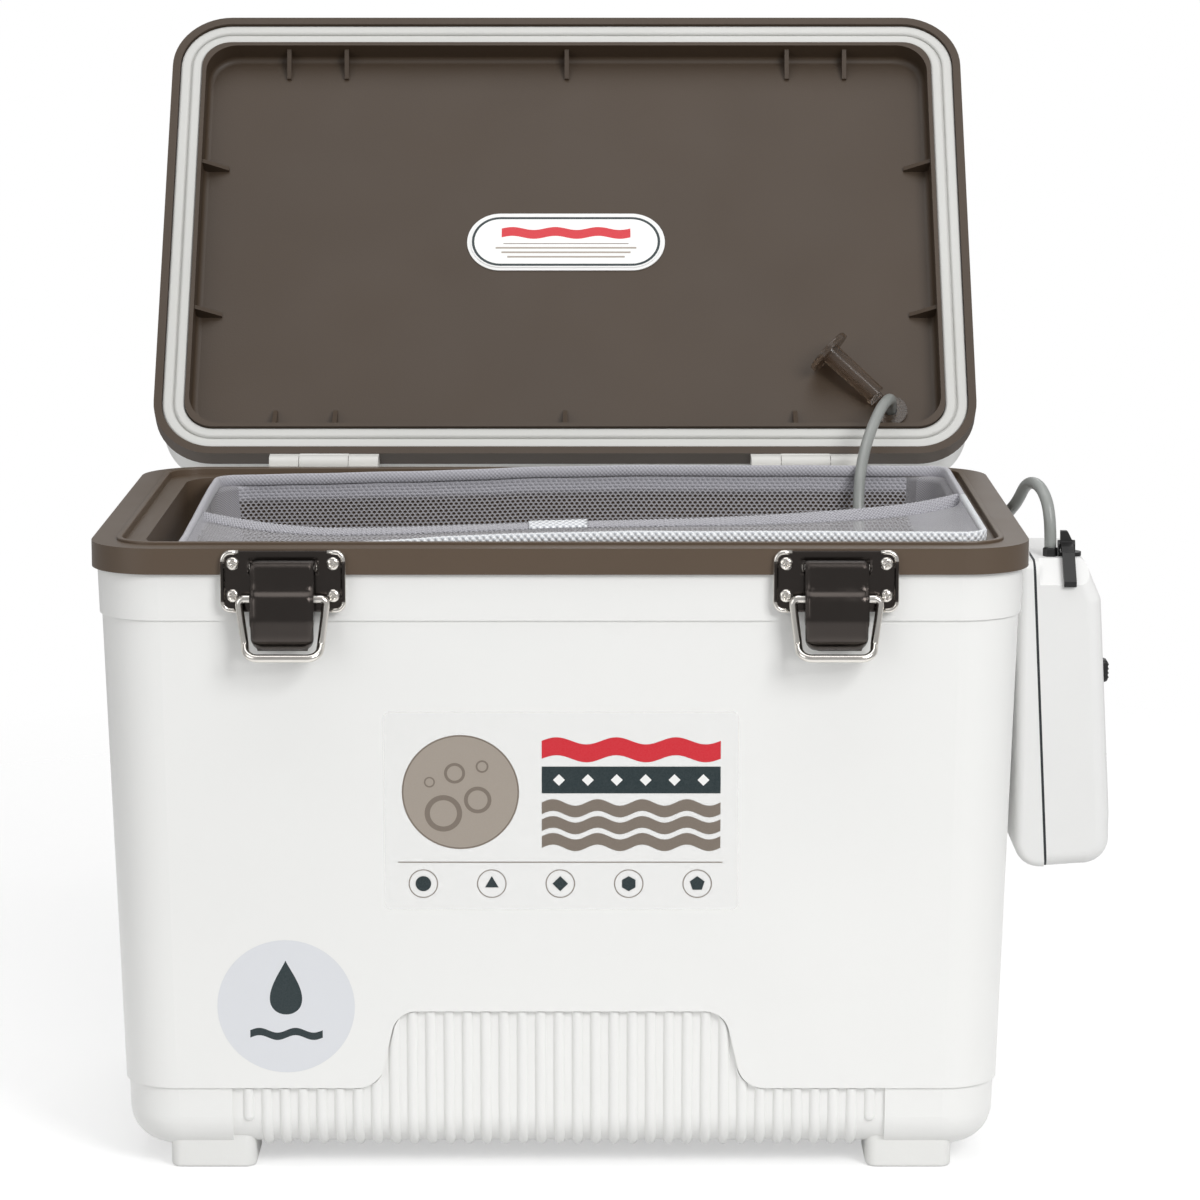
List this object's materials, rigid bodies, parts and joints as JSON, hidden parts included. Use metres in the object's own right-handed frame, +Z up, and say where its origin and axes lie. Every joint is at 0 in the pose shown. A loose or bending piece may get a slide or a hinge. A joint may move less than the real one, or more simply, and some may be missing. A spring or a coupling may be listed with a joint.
{
  "type": "live bait cooler",
  "caption": "Insulated hard-sided bait cooler with a hinged lid held open, draw latches, a hanging mesh bait net and a clip-on battery air pump with its hose",
  "frame": {"origin": "on the floor under the middle of the whole object's box, with the lid open and without the free air hose", "axes": "X runs along the front to the viewer's right, Y from the front to the back and Z up; the latches face -Y and the pump hangs on the +X side"},
  "size_m": [0.456, 0.4692, 0.4967],
  "materials": {
    "airline": "extruded clear-grey silicone airline",
    "badge_film": "domed printed film, gloss",
    "black_plastic": "moulded black nylon, satin",
    "board_laminate": "green glass-epoxy laminate with black parts",
    "bracket_plastic": "moulded white ABS bracket",
    "cell_jacket": "steel can with a plain printed jacket",
    "contact_steel": "nickel-plated spring strip",
    "diaphragm_rubber": "moulded nitrile rubber",
    "drive_plastic": "moulded acetal, natural",
    "foam": "foamed-in polyurethane insulation, cut cells",
    "foot_rubber": "moulded off-white rubber, matt",
    "gasket_rubber": "extruded silicone seal, pale, satin",
    "hinge_plastic": "moulded white nylon leaf, satin",
    "hoop_wire": "spring steel wire inside the hem",
    "latch_steel": "polished dark stainless steel",
    "motor_can": "zinc-plated drawn can",
    "net_mesh": "white knitted hexagonal polyester mesh",
    "net_webbing": "bright white woven binding",
    "pin_steel": "drawn stainless steel rod",
    "pump_plastic": "injection-moulded ABS, white, semi-gloss",
    "seal_rubber": "dark foam rubber seal",
    "smoke_rubber": "moulded smoke-brown PVC, translucent",
    "stone": "bonded mineral grit, coarse matt",
    "taupe_liner": "injection-moulded polypropylene, taupe, satin",
    "white_shell": "injection-moulded polypropylene, white, fine satin gloss"
  },
  "bodies": {
    "tub": {"outer_shell": "white_shell", "tub_liner": "taupe_liner", "tub_foam": "foam", "foot_front_left": "foot_rubber", "foot_back_left": "foot_rubber", "foot_front_right": "foot_rubber", "foot_back_right": "foot_rubber", "hinge_tub_leaf_left": "hinge_plastic", "hinge_pin_left": "pin_steel", "hinge_tub_leaf_right": "hinge_plastic", "hinge_pin_right": "pin_steel", "latch_plate_left": "latch_steel", "latch_pin_left": "pin_steel", "latch_plate_right": "latch_steel", "latch_pin_right": "pin_steel", "tub_screws": "latch_steel", "pump_front_case": "pump_plastic", "pump_back_case": "pump_plastic", "case_seal": "seal_rubber", "pump_bracket": "bracket_plastic", "battery_cells": "cell_jacket", "battery_contacts": "contact_steel", "circuit_board": "board_laminate", "pump_motor": "motor_can", "diaphragm": "diaphragm_rubber", "valve_head": "drive_plastic", "outlet_nut": "black_plastic", "clip_base": "black_plastic", "hose_outer": "airline", "hose_inner": "airline", "airstone": "stone"},
    "lid": {"lid_pan": "taupe_liner", "lid_shell": "white_shell", "lid_foam": "foam", "lid_gasket": "gasket_rubber", "lid_badge": "badge_film", "hinge_lid_leaf_left": "hinge_plastic", "hinge_lid_leaf_right": "hinge_plastic", "lid_screws": "latch_steel", "port_grommet": "smoke_rubber", "hose_through": "airline"},
    "plug": {"port_plug": "smoke_rubber"},
    "lever_left": {"latch_lever_left": "latch_steel"},
    "lever_right": {"latch_lever_right": "latch_steel"},
    "bail_left": {"latch_bail_left": "latch_steel"},
    "bail_right": {"latch_bail_right": "latch_steel"},
    "net": {"net_bag": "net_mesh", "net_hoop": "hoop_wire", "net_hem": "net_webbing", "net_cover": "net_mesh", "net_elastic": "net_webbing", "net_tab": "net_webbing"},
    "clip": {"case_clip": "black_plastic"},
    "switch": {"speed_switch": "black_plastic"},
    "crank": {"motor_crank": "drive_plastic"},
    "yoke": {"pump_yoke": "drive_plastic"}
  },
  "joints": [
    {"name": "lid_hinge", "type": "hinge", "parent": "tub", "child": "lid", "pos_m": [-0.02295, 0.04676, 0.2825], "axis": [1, 0, 0], "range_deg": [0, 127], "deforming": ["hose_outer", "hose_inner"]},
    {"name": "plug_fold", "type": "hinge", "parent": "lid", "child": "plug", "pos_m": [0.13326, 0.08139, 0.31028], "axis": [0.6644, 0.4498, 0.5969], "range_deg": [0, 25]},
    {"name": "lever_left_pivot", "type": "hinge", "parent": "tub", "child": "lever_left", "pos_m": [-0.14215, -0.22684, 0.2748], "axis": [-1, 0, 0], "range_deg": [0, 115]},
    {"name": "bail_left_pivot", "type": "hinge", "parent": "lever_left", "child": "bail_left", "pos_m": [-0.14215, -0.22674, 0.261], "axis": [1, 0, 0], "range_deg": [-180, 0]},
    {"name": "lever_right_pivot", "type": "hinge", "parent": "tub", "child": "lever_right", "pos_m": [0.09625, -0.22684, 0.2748], "axis": [-1, 0, 0], "range_deg": [0, 115]},
    {"name": "bail_right_pivot", "type": "hinge", "parent": "lever_right", "child": "bail_right", "pos_m": [0.09625, -0.22674, 0.261], "axis": [1, 0, 0], "range_deg": [-180, 0]},
    {"name": "net_lift", "type": "slide", "parent": "tub", "child": "net", "axis": [0, 0, -1], "range_m": [-0.085, 0]},
    {"name": "clip_pivot", "type": "hinge", "parent": "tub", "child": "clip", "pos_m": [0.20755, -0.11224, 0.267], "axis": [-1, 0, 0], "range_deg": [0, 100]},
    {"name": "switch_slide", "type": "slide", "parent": "tub", "child": "switch", "axis": [-0.0565, 0, 0.9984], "range_m": [-0.003, 0.003]},
    {"name": "crank_spin", "type": "hinge", "parent": "tub", "child": "crank", "pos_m": [0.20005, -0.10974, 0.226], "axis": [0, 1, 0], "continuous": true},
    {"name": "yoke_stroke", "type": "slide", "parent": "tub", "child": "yoke", "axis": [0, 0, 1], "range_m": [-0.0018, 0.0018], "deforming": ["diaphragm"]}
  ]
}
